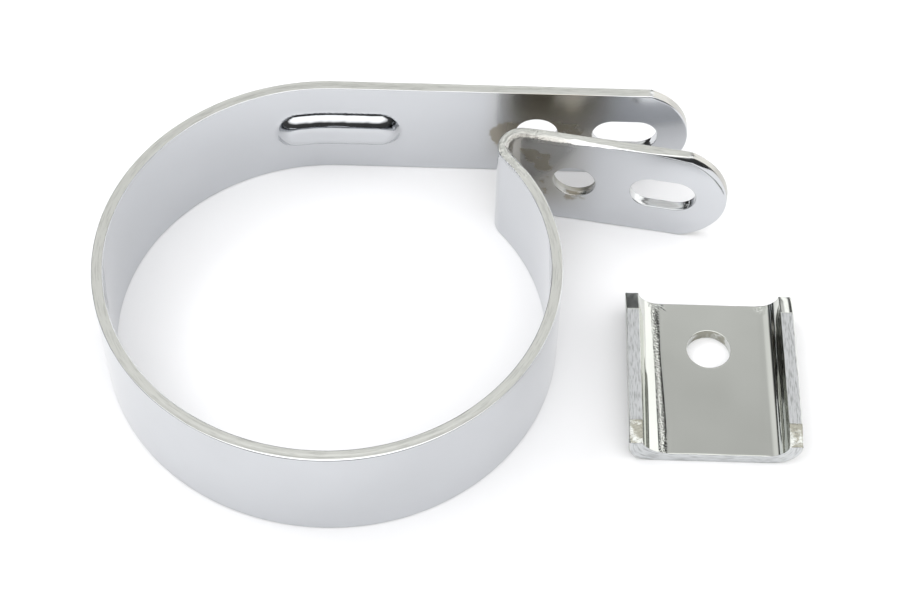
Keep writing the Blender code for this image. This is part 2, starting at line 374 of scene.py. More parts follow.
@dataclass
class Blank:
    """A flat blank between a low and a high edge, with blocks of grid around its openings."""

    thickness: float
    low: Array
    high: Array
    rows: Array
    start_end: Array
    finish_end: Array
    openings: tuple[Opening, ...]
    edge: CutEdge
    edge_sizes: Array
    round_ends: bool

    def outline(self) -> Array:
        """All the outline's points: the low edge, the finish, the high edge backwards and the start."""
        return np.concatenate((self.low, self.finish_end, self.high[::-1], self.start_end))

    def mitres(self) -> Array:
        """Outward vectors at the outline's points, along which an inset keeps its distance on both sides.

        Each is the sum of the unit normals of the two sides that meet there, over one plus their dot
        product.

        Returns:
            A vector for each of the outline's points.
        """
        outline = self.outline()
        along = unit_rows(np.roll(outline, -1, axis=0) - outline)
        normal = np.stack((along[:, 1], -along[:, 0]), axis=-1)
        before = np.roll(normal, 1, axis=0)
        return (normal + before) / (1 + np.sum(normal * before, axis=1, keepdims=True))

    def split(self, outline: Array) -> tuple[Array, Array, Array, Array]:
        """An outline's four parts.

        Args:
            outline: the outline's points.

        Returns:
            The low edge, the finish, the high edge turned round, and the start.
        """
        stations = len(self.low)
        finish = stations + len(self.finish_end)
        start = finish + stations
        return outline[:stations], outline[stations:finish], outline[finish:start][::-1], outline[start:]

    def grid(self, outline: Array) -> tuple[Array, Array, Array]:
        """Places of the rows at every station, as even shares of the way from the low edge to the high one.

        Args:
            outline: the outline's points, inset or not.

        Returns:
            The grid, stations by rows by two, then the start and the finish.
        """
        low, finish, high, start = self.split(outline)
        share = self.rows[None, :, None]
        grid = low[:, None, :] * (1 - share) + high[:, None, :] * share
        if not self.round_ends:
            grid[0, 1:-1] = start[::-1]
            grid[-1, 1:-1] = finish
        return grid, start, finish

    def around(self, opening: Opening, grid: Array, start: Array, finish: Array) -> Array:
        """The boundary of an opening's block, in the outline's own sense.

        Args:
            opening: the opening.
            grid: the grid of stations and rows.
            start: the start's points, which bound a block there if the ends are round.
            finish: the finish's points, likewise.

        Returns:
            The boundary's points.
        """
        first, last = opening.first, opening.last
        at_start = self.round_ends and first == 0
        at_finish = self.round_ends and last == len(grid) - 1
        return np.concatenate((
            grid[first : last + 1, 0],
            finish if at_finish else grid[last, 1:-1],
            grid[first : last + 1, -1][::-1],
            start if at_start else grid[first, 1:-1][::-1],
        ))

    def mesh(self) -> tuple[Array, Array, Array]:
        """Both faces, the outline's cut wall and the openings' cut walls, welded into one closed surface.

        Around an opening, the grid's rings go in even steps from the rim's points to the boundary's points,
        closer together at both. Elsewhere it is the plain grid of stations and rows.

        Returns:
            Flat places (distance, height, depth), their shares of cut wall, and quads.
        """
        patches = Patches()
        outline = self.outline()
        outward = self.mitres()
        plain, plain_start, plain_finish = self.grid(outline)
        share = np.array(RING_SHARES)[None, :, None]
        sides = ((Face.INNER, 0, self.edge.inner_width), (Face.OUTER, 3, self.edge.outer_width))
        for face, column, rim_width in sides:
            depth = face.value * self.thickness / 2
            inset = outline - outward * self.edge_sizes[:, column, None]
            grid, start, finish = self.grid(inset)
            taken = np.zeros(len(grid) - 1, dtype=bool)
            for opening in self.openings:
                taken[opening.first : opening.last] = True
                rim, away = opening.rim(self.around(opening, plain, plain_start, plain_finish))
                rim = rim + away * rim_width
                boundary = self.around(opening, grid, start, finish)
                rings = rim[:, None, :] * (1 - share) + boundary[:, None, :] * share
                flat = np.dstack((rings, np.full(rings.shape[:2], depth)))
                patches.add(flat, np.zeros(rings.shape[:2]), closed=True)
            edges = np.flatnonzero(np.diff(np.concatenate(([True], taken, [True])).astype(int)))
            for begin, end in edges.reshape(-1, 2):
                band = grid[begin : end + 1]
                flat = np.dstack((band, np.full(band.shape[:2], depth)))
                patches.add(flat, np.zeros(band.shape[:2]), closed=False)
        patches.add(*self.edge.wall(outline, outward, self.edge_sizes, self.thickness), closed=True)
        for opening in self.openings:
            rim, away = opening.rim(self.around(opening, plain, plain_start, plain_finish))
            places, cut = self.edge.wall(rim, -away, self.edge.sizes(len(rim)), self.thickness)
            patches.add(places, PUNCHED_SHARE * cut, closed=True)
        return patches.weld()


def make_object(name: str, points: Array, quads: Array, layers: dict[str, Array]) -> bpy.types.Object:
    """Make a smooth object of points and quads, with a vector attribute for each layer.

    Args:
        name: the object's name.
        points: its points in space.
        quads: four point numbers for each face.
        layers: three values for each point, by the attribute's name.

    Returns:
        The object, linked to the scene, with its faces outwards.
    """
    mesh = bpy.data.meshes.new(name)
    mesh.from_pydata(points, [], quads)
    for layer, values in layers.items():
        attribute = mesh.attributes.new(layer, "FLOAT_VECTOR", "POINT")
        attribute.data.foreach_set("vector", values.astype(np.float32).ravel())
    shape = bmesh.new()
    shape.from_mesh(mesh)
    bmesh.ops.recalc_face_normals(shape, faces=shape.faces)
    shape.to_mesh(mesh)
    shape.free()
    mesh.shade_smooth()
    item = bpy.data.objects.new(name, mesh)
    bpy.context.scene.collection.objects.link(item)
    return item


# ---------------------------------------------------------------- finishes
@dataclass(frozen=True)
class ChromePlatedSteel:
    """Bright decorative chrome over polished steel, with grey sheared edges and some brown bath stain.

    To the eye it is a clear, slightly blue mirror that waves a little with the polishing, duller and warmer
    where the strip was sheared, and hazy brown where plating salts dried. Real grain and pits are finer
    than these, which are drawn as coarse as they need to be to show.
    """

    name: str
    face_colour: str = "#CDCFD2"
    cloud_colour: str = "#C5C7CA"
    edge_colour: str = "#D2D3CE"
    edge_dark: str = "#C0C1BC"
    # Darker brown colour: painted shade where the ears face each other and past the neck, and thin chrome on
    # the tips.
    shade_and_thin_chrome_colour: str = "#A19D93"
    stain_colour: str = "#968F80"
    face_roughness: float = 0.07
    edge_roughness: float = 0.42
    stain_haze: float = 0.14
    bath_haze: float = 0.16
    cloud_size: float = 22 * MM
    wave_length: float = 9 * MM
    wave_height: float = 0.004 * MM
    grain_length: float = 3.5 * MM
    grain_width: float = 0.26 * MM
    grain_across: float = 0.26 * MM
    grain_height: float = 0.006 * MM
    grain_levels: tuple[float, float] = (0.34, 0.52)
    pit_width: float = 0.55 * MM
    pit_height: float = 0.42 * MM
    tide_size: float = 4.5 * MM
    tide_weight: float = 0.9
    tide_levels: tuple[float, float] = (0.89, 0.98)
    stain_most: float = 0.85

    def patterns(self, tree: Tree) -> dict[str, Socket]:
        """The finish's noises, which lie on the flat blank, so that they follow the bent strip.

        Clouds in the plating are a few centimetres across, and polishing leaves slow waves. The grain of a
        sheared wall runs along it, pits come where metal was bent hard, and stains have ragged tides.

        Args:
            tree: the material's nodes.

        Returns:
            Each noise's value, around a half, by its name.
        """
        place = add_node(tree, "ShaderNodeAttribute", {}, attribute_name="flat_place").outputs["Vector"]
        drawn = add_node(
            tree,
            "ShaderNodeVectorMath",
            {0: place, 1: (1 / self.grain_length, 1 / self.grain_across, 1 / self.grain_width)},
            operation="MULTIPLY",
        ).outputs[0]
        noises = {
            "clouds": {"Vector": place, "Scale": 1 / self.cloud_size, "Detail": 2.0},
            "waves": {"Vector": place, "Scale": 1 / self.wave_length, "Detail": 1.0},
            "grain": {"Vector": drawn, "Scale": 1.0, "Detail": 3.0},
            "pits": {"Vector": place, "Scale": 1 / self.pit_width, "Detail": 2.0},
            "tides": {"Vector": place, "Scale": 1 / self.tide_size, "Detail": 6.0, "Roughness": 0.62},
        }
        return {
            name: add_node(tree, "ShaderNodeTexNoise", inputs).outputs["Fac"]
            for name, inputs in noises.items()
        }

    def masks(self, tree: Tree, tides: Socket) -> dict[str, Socket]:
        """How far a place is cut wall, pitted, darkened (painted shade between the ears, thin chrome on the
        tips), hazy and stained.

        The attribute marks holds the first two and how likely a stain is, and the second attribute holds the
        next two: the painted shade with the thin chrome, and the haze. The stain is its likelihood plus the
        tides, cut off sharply enough to leave tide marks.

        Args:
            tree: the material's nodes.
            tides: the ragged noise.

        Returns:
            Shares from 0 to 1, by their names.
        """
        marks = add_node(tree, "ShaderNodeAttribute", {}, attribute_name="marks").outputs["Vector"]
        cut, pitted, stained = add_node(tree, "ShaderNodeSeparateXYZ", {0: marks}).outputs[:3]
        shade_and_haze = add_node(tree, "ShaderNodeAttribute", {}, attribute_name="shade_and_haze").outputs["Vector"]
        shade_and_thin, haze = add_node(tree, "ShaderNodeSeparateXYZ", {0: shade_and_haze}).outputs[:2]
        likely = add_node(
            tree, "ShaderNodeMath", {0: tides, 1: self.tide_weight, 2: stained}, operation="MULTIPLY_ADD"
        ).outputs[0]
        low, high = self.tide_levels
        stain = add_node(
            tree,
            "ShaderNodeMapRange",
            {"Value": likely, "From Min": low, "From Max": high, "To Max": self.stain_most},
        ).outputs[0]
        return {"cut": cut, "pitted": pitted, "shade_and_thin": shade_and_thin, "haze": haze, "stain": stain}

    def colour(self, tree: Tree, patterns: dict[str, Socket], masks: dict[str, Socket]) -> Socket:
        """Colour: plating with its clouds, then painted shade and thin chrome, the cut wall's grain, and the
        stain.

        Args:
            tree: the material's nodes.
            patterns: the finish's noises.
            masks: where each of its states shows.

        Returns:
            The colour's socket.
        """
        shades = (linear(self.edge_dark), linear(self.edge_colour))
        stops = tuple(zip(self.grain_levels, shades))
        grain = {"Fac": patterns["grain"]}
        edge = add_node(tree, "ShaderNodeValToRGB", grain, stops=stops).outputs["Color"]
        layers = (
            (patterns["clouds"], linear(self.cloud_colour)),
            # Painted shade between the ears and past the neck, and thin chrome on the tips.
            (masks["shade_and_thin"], linear(self.shade_and_thin_chrome_colour)),
            (masks["cut"], edge),
            (masks["stain"], linear(self.stain_colour)),
        )
        colour = linear(self.face_colour)
        for share, over in layers:
            inputs = {0: share, 6: colour, 7: over}
            colour = add_node(tree, "ShaderNodeMix", inputs, data_type="RGBA").outputs[2]
        return colour

    def roughness(self, tree: Tree, masks: dict[str, Socket]) -> Socket:
        """Roughness: clear on the faces, dull on cut walls, hazy under stains, on thin chrome, under the
        painted shade and where the ears face each other.

        Args:
            tree: the material's nodes.
            masks: where each of the finish's states shows.

        Returns:
            The roughness's socket.
        """
        levels = {"Value": masks["cut"], "To Min": self.face_roughness, "To Max": self.edge_roughness}
        rough = add_node(tree, "ShaderNodeMapRange", levels).outputs[0]
        for share, more in ((masks["stain"], self.stain_haze), (masks["haze"], self.bath_haze)):
            inputs = {0: share, 1: more, 2: rough}
            rough = add_node(tree, "ShaderNodeMath", inputs, operation="MULTIPLY_ADD").outputs[0]
        return rough

    def relief(self, tree: Tree, patterns: dict[str, Socket], masks: dict[str, Socket]) -> Socket:
        """The normal over heights in metres: polishing waves everywhere, grain on cut walls, and pits.

        Args:
            tree: the material's nodes.
            patterns: the finish's noises.
            masks: where each of its states shows.

        Returns:
            The normal's socket.
        """
        inputs = {0: patterns["waves"], 1: self.wave_height}
        height = add_node(tree, "ShaderNodeMath", inputs, operation="MULTIPLY").outputs[0]
        rises = (
            (patterns["grain"], self.grain_height, masks["cut"]),
            (patterns["pits"], self.pit_height, masks["pitted"]),
        )
        for pattern, most, share in rises:
            rise = add_node(tree, "ShaderNodeMath", {0: pattern, 1: most}, operation="MULTIPLY").outputs[0]
            inputs = {0: rise, 1: share, 2: height}
            height = add_node(tree, "ShaderNodeMath", inputs, operation="MULTIPLY_ADD").outputs[0]
        inputs = {"Strength": 1.0, "Distance": 1.0, "Height": height}
        return add_node(tree, "ShaderNodeBump", inputs).outputs["Normal"]

    def material(self) -> bpy.types.Material:
        """Build the material.

        Returns:
            The material.
        """
        material = bpy.data.materials.new(self.name)
        material.use_nodes = True
        tree = material.node_tree
        shader = tree.nodes["Principled BSDF"]
        shader.inputs["Metallic"].default_value = 1.0
        patterns = self.patterns(tree)
        masks = self.masks(tree, patterns["tides"])
        tree.links.new(self.colour(tree, patterns, masks), shader.inputs["Base Color"])
        tree.links.new(self.roughness(tree, masks), shader.inputs["Roughness"])
        tree.links.new(self.relief(tree, patterns, masks), shader.inputs["Normal"])
        return material


@dataclass(frozen=True)
class MattLaminate:
    """White table laminate, pressed matt: it gives the eye nothing but soft contact shadows."""

    name: str = "matt_white_laminate"
    colour: str = "#F2F2F3"
    roughness: float = 0.9
    specular: float = 0.1

    def material(self) -> bpy.types.Material:
        """Build the material.

        Returns:
            The material.
        """
        material = bpy.data.materials.new(self.name)
        material.use_nodes = True
        shader = material.node_tree.nodes["Principled BSDF"]
        shader.inputs["Base Color"].default_value = linear(self.colour)
        shader.inputs["Roughness"].default_value = self.roughness
        shader.inputs["Specular IOR Level"].default_value = self.specular
        return material


# ---------------------------------------------------------------- strap
@dataclass(frozen=True)
class Zone:
    """A stretch of the strip: how far past a landmark its middle lies, and how far it reaches from there.

    A steepness above 1 keeps the share at 1 for a part of the reach.
    """

    offset: float
    reach: float
    steepness: float = 1.3

    def share(self, distance: Array, landmark: float) -> Array:
        """How near distances are to the zone's middle: 1 close to it, falling smoothly to 0 a reach away."""
        away = np.abs(distance - (landmark + self.offset))
        return smooth(self.steepness * (1 - away / self.reach))


@dataclass(frozen=True)
class Growth:
    """What an edge's rounding gains in width, depth and flatness, on the inner face and on the outer."""

    inner: tuple[float, float, float] = (0.0, 0.0, 0.0)
    outer: tuple[float, float, float] = (0.0, 0.0, 0.0)

    def row(self) -> Array:
        """All six gains, in the order of CutEdge.sizes."""
        return np.array(self.inner + self.outer)


@dataclass(frozen=True)
class StainSpot:
    """An oval on one face of the sheet that takes ragged brown patches, and how likely its middle takes
    them.
    """

    face: Face
    distance: float
    height: float
    half_length: float
    half_height: float
    most: float
    spread: float = 1.35

    def likelihood(self, places: Array) -> Array:
        """How likely places are stained: most inside the oval, and not at all beyond its spread.

        Args:
            places: flat places.

        Returns:
            A likelihood for each, from 0 to 1.
        """
        distance, height, depth = places.T
        along = (distance - self.distance) / self.half_length
        across = (height - self.height) / self.half_height
        here = np.sign(depth) == self.face.value
        return self.most * smooth(self.spread - np.hypot(along, across)) * here


@dataclass
class StrapShell:
    """The clamp's strap: back ear, ring, neck and front ear in one bent strip."""

    muffler_diameter: float = 101.6 * MM
    bolt_diameter: float = 9.5 * MM
    width: float = 29.5 * MM
    thickness: float = 2.6 * MM
    back_ease: float = -0.7 * MM
    back_turn: float = math.radians(97.5)
    front_ease: float = 1.5 * MM
    front_turn: float = math.radians(86.0)
    side_ease: float = -0.8 * MM
    side_turn: float = math.radians(126.0)
    neck_radius: float = 3.4 * MM
    neck_turn: float = math.radians(138.3)
    hole_clearance: float = 0.9 * MM
    slot_clearance: float = 0.7 * MM
    slot_travel: float = 5.9 * MM
    slot_to_tip: float = 15.5 * MM
    hole_to_slot: float = 21.8 * MM
    ring_to_back_hole: float = 49.3 * MM
    neck_to_front_hole: float = 12.5 * MM
    tip_flatness: float = 1.15 * MM
    rib_length: float = 32.6 * MM
    rib_width: float = 12.2 * MM
    rib_crest_width: float = 3.4 * MM
    rib_shoulder: float = 0.80
    rib_height: float = 2.6 * MM
    rib_waver: float = 0.035 * MM
    rib_waver_period: float = 5.5 * MM
    hole_block: float = 9.6 * MM
    tip_steps: int = 48
    neck_spread: float = 0.16 * MM
    neck_margin: float = 5 * MM
    edge_waver: float = 0.18
    edge_waver_period: float = 23 * MM
    neck_waver: float = 0.30
    neck_waver_period: float = 7 * MM
    lower_growth: Growth = Growth(inner=(0.26 * MM, 0.14 * MM, 0.0), outer=(0.26 * MM, 0.14 * MM, 0.0))
    start_growth: Growth = Growth(inner=(0.35 * MM, 0.20 * MM, 0.0))
    finish_growth: Growth = Growth(outer=(1.05 * MM, 0.62 * MM, 0.75))
    neck_growth: Growth = Growth(outer=(0.50 * MM, 0.90 * MM, 0.85))
    front_growth: Growth = Growth(outer=(0.12 * MM, 0.24 * MM, 0.4))
    start_corner: tuple[float, float] = (5.5 * MM, 7.5 * MM)
    finish_corner: tuple[float, float] = (6.5 * MM, 10.5 * MM)
    neck_swelling: Zone = Zone(3 * MM, 29 * MM)
    front_swelling: Zone = Zone(0.0, 34 * MM)
    neck_pits: Zone = Zone(0.0, 22 * MM)
    root_pitting: float = 0.20
    root_inset: float = 0.25 * MM
    root_spread: float = 0.35 * MM
    tip_polish: float = 0.8
    tip_thinness: float = 0.7
    # Painted shade: where and how strongly the colour is darkened between the ears and past the neck,
    # standing in for the dim light there.
    shade_past_neck_share: float = 0.75
    shade_on_back_ear: Zone = Zone(-4 * MM, 19 * MM)
    shade_on_front_ear: Zone = Zone(8 * MM, 17 * MM)
    shade_past_neck: Zone = Zone(1 * MM, 19 * MM)
    shade_full_height: float = 12 * MM
    facing_haze: float = 0.5
    finish: ChromePlatedSteel = ChromePlatedSteel("chrome_plated_steel_strip")

    def __post_init__(self) -> None:
        """Work out the sizes that follow from the others."""
        half = self.thickness / 2
        bore = self.muffler_diameter / 2
        self.hole_radius = (self.bolt_diameter + self.hole_clearance) / 2
        self.slot_radius = (self.bolt_diameter + self.slot_clearance) / 2
        self.hole_to_tip = self.hole_to_slot + self.slot_to_tip
        self.back_ear = self.ring_to_back_hole + self.hole_to_tip
        self.front_ear = self.neck_to_front_hole + self.hole_to_tip
        self.back_radius = bore + self.back_ease
        back = self.back_radius + half
        front = bore + self.front_ease + half
        side = bore + self.side_ease + half
        neck = self.neck_radius + half
        low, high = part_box("clamp_strap")
        ring_x = low.x + self.back_radius + self.thickness
        ring_y = high.y - self.back_radius - self.thickness
        self.line = BendLine(
            lengths=(
                self.back_ear,
                back * self.back_turn,
                front * self.front_turn,
                side * self.side_turn,
                neck * self.neck_turn,
                self.front_ear,
            ),
            curvatures=(0.0, 1 / back, 1 / front, 1 / side, -1 / neck, 0.0),
            start=(ring_x + self.back_ear, ring_y + back),
            heading=math.pi,
        )
        self.total = sum(self.line.lengths)
        self.neck_start = sum(self.line.lengths[:4])
        self.neck_end = sum(self.line.lengths[:5])
        self.neck_middle = (self.neck_start + self.neck_end) / 2
        self.tip_radius = self.width / 2 + self.tip_flatness
        self.tip_corner = math.asin(self.width / 2 / self.tip_radius)
        self.tip_depth = self.tip_radius * (1 - math.cos(self.tip_corner))

    def stations(self) -> tuple[Array, tuple[Opening, ...]]:
        """Distances of the blank's stations, and its openings with the stations between which they lie.

        Stations lie close together along the rib and the neck and further apart along the ring.

        Returns:
            The distances, and the openings.
        """
        slot_end = self.hole_to_tip - self.hole_block
        hole_end = self.hole_to_tip + self.hole_block
        rib_reach = self.rib_length / 2 + 1.5 * MM
        rib_start = self.back_ear - rib_reach
        rib_end = self.back_ear + rib_reach
        bend_start, bend_end = self.neck_start - 2 * MM, self.neck_end + 2.8 * MM
        by_slot, by_hole, ear = 0.85 * MM, 0.80 * MM, 1.0 * MM
        rib, ring, neck = 0.42 * MM, 1.3 * MM, 0.32 * MM
        spans = (
            (self.tip_depth, slot_end, by_slot),
            (slot_end, hole_end, by_hole),
            (hole_end, rib_start, ear),
            (rib_start, rib_end, rib),
            (rib_end, bend_start, ring),
            (bend_start, bend_end, neck),
            (self.total - hole_end, self.total - slot_end, by_hole),
            (self.total - slot_end, self.total - self.tip_depth, by_slot),
        )
        distances = stretch(*spans)
        ends = [int(np.argmin(np.abs(distances - s))) for s in (slot_end, hole_end)]
        far = [int(np.argmin(np.abs(distances - self.total + s))) for s in (hole_end, slot_end)]
        middle = self.width / 2
        run = self.slot_travel / 2
        slot, hole = self.slot_to_tip, self.hole_to_tip
        openings = (
            Opening((slot, middle), self.slot_radius, run, 0, ends[0]),
            Opening((hole, middle), self.hole_radius, 0.0, ends[0], ends[1]),
            Opening((self.total - hole, middle), self.hole_radius, 0.0, far[0], far[1]),
            Opening((self.total - slot, middle), self.slot_radius, run, far[1], len(distances) - 1),
        )
        return distances, openings

    def rows(self) -> Array:
        """Shares of the strip's width at which its rows lie, close together over the rib.

        Returns:
            The shares, from 0 at the low edge to 1 at the high one.
        """
        middle = self.width / 2
        foot = self.rib_width / 2 + 0.5 * MM
        edge_row, inset = 0.5 * MM, 0.33 * MM
        wide, close = 1.45 * MM, 0.36 * MM
        heights = stretch(
            (edge_row, middle - foot, wide),
            (middle - foot, middle + foot, close),
            (middle + foot, self.width - edge_row, wide),
        )
        shares = (heights - inset) / (self.width - 2 * inset)
        return np.concatenate(([0.0], shares, [1.0]))

    def tip(self) -> Array:
        """Points of the round end at the start, from the high edge to the low one, without its corners.

        Each is a tip radius from the end's centre, at even angles.

        Returns:
            The points, as (distance, height).
        """
        angle = np.linspace(self.tip_corner, -self.tip_corner, self.tip_steps + 1)[1:-1]
        return np.stack((
            self.tip_radius * (1 - np.cos(angle)), self.width / 2 + self.tip_radius * np.sin(angle)
        ), axis=-1)

    def rollover(self, edge: CutEdge, outline: Array) -> Array:
        """Sizes of the rounded edge all round the outline.

        The lower edge is the rounder one. The shear drags the metal down most at the ends' upper corners
        and along the neck, so the rounding grows there, and it wavers everywhere by a share of its size.

        Args:
            edge: the plain edge.
            outline: the outline's points.

        Returns:
            Rows of six sizes, in the order of CutEdge.sizes.
        """
        sizes = edge.sizes(len(outline))
        distance, height = outline.T
        wave = waver(distance + 3.1 * height, self.edge_waver_period)
        sizes[:, [0, 1, 3, 4]] *= 1 + self.edge_waver * wave[:, None]
        share = height / self.width
        border, upper_blend, lower_blend = 0.42, 0.4, 0.3
        upper = smooth((share - border) / upper_blend)
        lower = smooth((border - share) / lower_blend)
        front = self.back_ear + sum(self.line.lengths[1:3])
        by_neck = self.neck_swelling.share(distance, self.neck_end)
        by_neck *= 1 + self.neck_waver * waver(distance, self.neck_waver_period, 1.9)
        growths = (
            (lower, self.lower_growth),
            (upper * hump(distance, *self.start_corner), self.start_growth),
            (upper * hump(self.total - distance, *self.finish_corner), self.finish_growth),
            (upper * by_neck, self.neck_growth),
            (upper * self.front_swelling.share(distance, front), self.front_growth),
        )
        return sizes + sum(where[:, None] * growth.row() for where, growth in growths)

    def rib_rise(self, places: Array) -> Array:
        """How far the strip is pressed inwards at places.

        The distance from the rib's axis, a line with round ends, sets the rise: all of it over the crest,
        then down one parabola whose slope grows evenly as far as the shoulder, and another whose slope
        falls evenly to nothing at the foot. The foot's place wavers on the inner face, where the metal
        flowed freely, and is true on the outer one, which the punch touched.

        Args:
            places: flat places.

        Returns:
            A rise for each.
        """
        distance, height, depth = places.T
        off_axis = self.off_rib(distance, height)
        crest = self.rib_crest_width / 2
        free = smooth(depth / self.thickness + 0.5)
        wave = waver(distance + height, self.rib_waver_period, 0.8)
        foot = self.rib_width / 2 + self.rib_waver * free * wave
        share = np.clip((off_axis - crest) / (foot - crest), 0.0, 1.0)
        near_crest = share**2 / self.rib_shoulder
        near_foot = 1 - (1 - share) ** 2 / (1 - self.rib_shoulder)
        return self.rib_height * (1 - np.where(share < self.rib_shoulder, near_crest, near_foot))

    def off_rib(self, distance: Array, height: Array) -> Array:
        """Distance of places from the rib's axis, which is a straight line along the strip.

        Args:
            distance: how far along the strip the places lie.
            height: how high across it.

        Returns:
            How far each is from the nearest point of the axis.
        """
        half_run = (self.rib_length - self.rib_width) / 2
        beyond = np.maximum(np.abs(distance - self.back_ear) - half_run, 0.0)
        return np.hypot(beyond, height - self.width / 2)

    def bend(self, places: Array) -> Array:
        """Flat places bent along the strip's line.

        A place lies across the line's heading by its depth and the rib's rise. In the neck the metal on the
        tight side is squeezed out over the upper edge, and on the wide side it is drawn in.

        Args:
            places: flat places.

        Returns:
            Their points in space.
        """
        distance, height, depth = places.T
        point, heading = self.line.follow(distance)
        inwards = np.stack((-np.sin(heading), np.cos(heading)), axis=-1)
        point = point + inwards * (depth + self.rib_rise(places))[:, None]
        squeezed = Zone(0.0, (self.neck_end - self.neck_start) / 2 + self.neck_margin, steepness=1.6)
        bent = squeezed.share(distance, self.neck_middle) * smooth((height / self.width - 0.7) / 0.3)
        lift = -self.neck_spread * bent * depth / (self.thickness / 2)
        return np.column_stack((point, height + lift))

    def pitted(self, places: Array) -> Array:
        """How pitted a place is: the neck's stretched cut edge most, then the rib's torn upper root.

        Args:
            places: flat places.

        Returns:
            A share for each, from 0 to 1.
        """
        distance, height, depth = places.T
        by_edge = smooth((height - self.width) / (0.5 * MM) + 2.4)
        neck = by_edge * self.neck_pits.share(distance, self.neck_middle)
        from_root = self.off_rib(distance, height) - (self.rib_width / 2 - self.root_inset)
        upper = smooth((height / self.width - 0.45) / 0.2)
        root = np.exp(-((from_root / self.root_spread) ** 2)) * upper
        return np.maximum(neck, self.root_pitting * root * (depth > 0))

    def painted_shade(self, places: Array) -> Array:
        """How much shade is painted into the colour: most where the ears face each other, fading out towards
        their lower edges.

        It lies on the strip's inner face along both ears, and a little less of it on the outer face past the
        neck.

        Args:
            places: flat places.

        Returns:
            A share for each: 1 where the painted shade is darkest.
        """
        distance, height, depth = places.T
        back = self.shade_on_back_ear.share(distance, self.hole_to_tip)
        front = self.shade_on_front_ear.share(distance, self.neck_end)
        bend = self.shade_past_neck_share * self.shade_past_neck.share(distance, self.neck_end)
        return np.where(depth > 0, np.maximum(back, front), bend) * smooth(height / self.shade_full_height)

    def stain(self, places: Array) -> Array:
        """How likely a place is to take the ragged brown patches: most on the inner faces where the ears
        face each other, and on the outer face past the neck.

        Args:
            places: flat places.

        Returns:
            A likelihood for each, from 0 to 1.
        """
        hole, neck = self.hole_to_tip, self.neck_end
        spots = (
            StainSpot(Face.INNER, hole + 7.5 * MM, 14 * MM, 6 * MM, 7.5 * MM, 0.66),
            StainSpot(Face.INNER, hole - 4 * MM, 16.5 * MM, 13 * MM, 4 * MM, 0.60),
            StainSpot(Face.OUTER, neck + 3 * MM, 21 * MM, 7 * MM, 7 * MM, 0.50),
            StainSpot(Face.OUTER, neck + 6 * MM, 12 * MM, 3.5 * MM, 6 * MM, 0.50),
            StainSpot(Face.OUTER, neck + 12.5 * MM, 8.5 * MM, 6 * MM, 2.5 * MM, 0.52),
        )
        return np.max([spot.likelihood(places) for spot in spots], axis=0)

    def layers(self, places: Array, cut: Array) -> dict[str, Array]:
        """What the finish reads at each place.

        The round ends were ground after shearing, so their walls are brighter, but thinly plated. Shade is
        painted into the colour between the ears and past the neck. The back ear is hazy where the front ear
        faces it.

        Args:
            places: flat places.
            cut: their shares of cut wall.

        Returns:
            Three values for each place, by the attribute's name.
        """
        distance, _, depth = places.T
        from_end = np.minimum(distance, self.total - distance)
        cut = cut * (1 - self.tip_polish * smooth((self.tip_depth + 0.4 * MM - from_end) / (0.6 * MM)))
        on_tip = (cut > 0.12) & (from_end < self.tip_depth)
        # Painted shade between the ears and past the neck, and thin chrome on the tips.
        shade_and_thin = np.maximum(self.painted_shade(places), self.tip_thinness * on_tip)
        facing = smooth(5.6 - distance / (9 * MM)) * (depth > 0)
        haze = np.maximum(shade_and_thin, self.facing_haze * facing)
        return {
            "flat_place": places,
            "marks": np.column_stack((cut, self.pitted(places), self.stain(places))),
            "shade_and_haze": np.column_stack((shade_and_thin, haze, np.zeros_like(shade_and_thin))),
        }

    def build(self) -> bpy.types.Object:
        """Build the strap's shell in its place.

        Returns:
            The strap's object.
        """
        distances, openings = self.stations()
        low = np.stack((distances, np.zeros_like(distances)), axis=-1)
        high = low + (0.0, self.width)
        start = self.tip()
        finish = start[::-1] * (-1, 1) + (self.total, 0)
        edge = CutEdge()
        outline = np.concatenate((low, finish, high[::-1], start))
        blank = Blank(
            self.thickness, low, high, self.rows(), start, finish, openings, edge,
            self.rollover(edge, outline), round_ends=True,
        )
        places, cut, quads = blank.mesh()
        return make_object("strap_shell", self.bend(places), quads, self.layers(places, cut))

    def dress(self, strap: bpy.types.Object) -> None:
        """Give the strap its finish, hang it on its body, and hide the CAD strap.

        Args:
            strap: the strap's object.
        """
        strap.data.materials.append(self.finish.material())
        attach(strap, Body.STRAP.value)
        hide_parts("clamp_strap")


